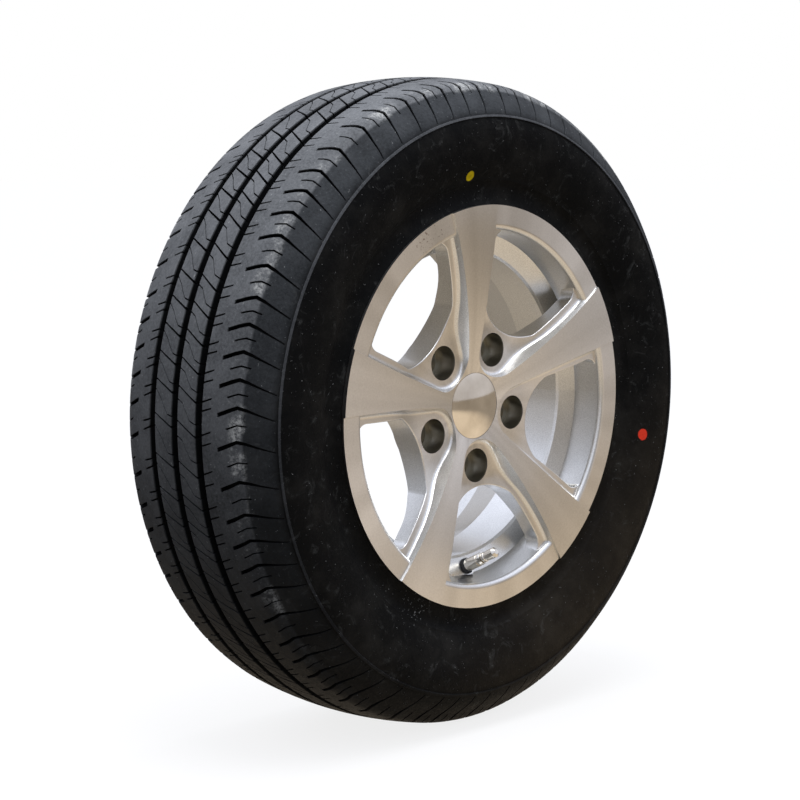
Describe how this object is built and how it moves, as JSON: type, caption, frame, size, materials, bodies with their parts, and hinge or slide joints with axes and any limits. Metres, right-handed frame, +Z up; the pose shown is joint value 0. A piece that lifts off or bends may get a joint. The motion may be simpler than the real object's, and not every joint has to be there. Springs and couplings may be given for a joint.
{
  "type": "wheel and tyre assembly",
  "caption": "Cast alloy car wheel with a dished star of spokes and open windows, carrying a tubeless radial tyre, a snap-in centre cap and a tyre valve with a screw cap.",
  "frame": {"origin": "centre of the hub mounting face, on the wheel axis", "axes": "+Y along the wheel axis, inwards to the vehicle, so the outer face looks to -Y; +Z up, as in the picture"},
  "size_m": [0.5919, 0.188, 0.592],
  "materials": {
    "tyre_rubber": "satin black with dust",
    "wheel_alloy": "machined face, silver painted behind, clear coat",
    "cap_plastic": "bright silver",
    "spring_steel": "plain",
    "valve_rubber": "moulded",
    "bright_metal": "polished",
    "brass": "turned",
    "seal_rubber": "moulded"
  },
  "bodies": {
    "rolling_wheel": {"wheel": "wheel_alloy", "tyre": "tyre_rubber", "centre_cap": "cap_plastic", "cap_ring": "spring_steel", "valve_body": "valve_rubber", "valve_sleeve": "bright_metal", "valve_stem": "brass", "core_housing": "brass", "core_gasket": "seal_rubber", "core_spring": "spring_steel"},
    "valve_pin": {"core_pin": "brass", "core_cup": "brass", "core_seal": "seal_rubber"},
    "cap_seal": {"valve_cap_seal": "seal_rubber"},
    "screw_cap": {"valve_cap": "bright_metal"}
  },
  "joints": [
    {"name": "core_pin_press", "type": "slide", "parent": "rolling_wheel", "child": "valve_pin", "axis": [0.0234, 0.8944, -0.4466], "range_m": [0, 0.0016], "stiffness_N_per_m": 1000, "springref_m": -0.002, "deforming": ["core_spring"]},
    {"name": "cap_lift", "type": "slide", "parent": "rolling_wheel", "child": "cap_seal", "axis": [-0.0234, -0.8944, 0.4466], "range_m": [0, 0.00397]},
    {"name": "cap_unscrew", "type": "hinge", "parent": "cap_seal", "child": "screw_cap", "pos_m": [0.007, -0.05719, -0.13366], "axis": [-0.0234, -0.8944, 0.4466], "range_deg": [0, 1800]}
  ],
  "couplings": [
    {"joint": "cap_unscrew", "follows": "cap_lift", "rad_per_m": 7913.3}
  ]
}
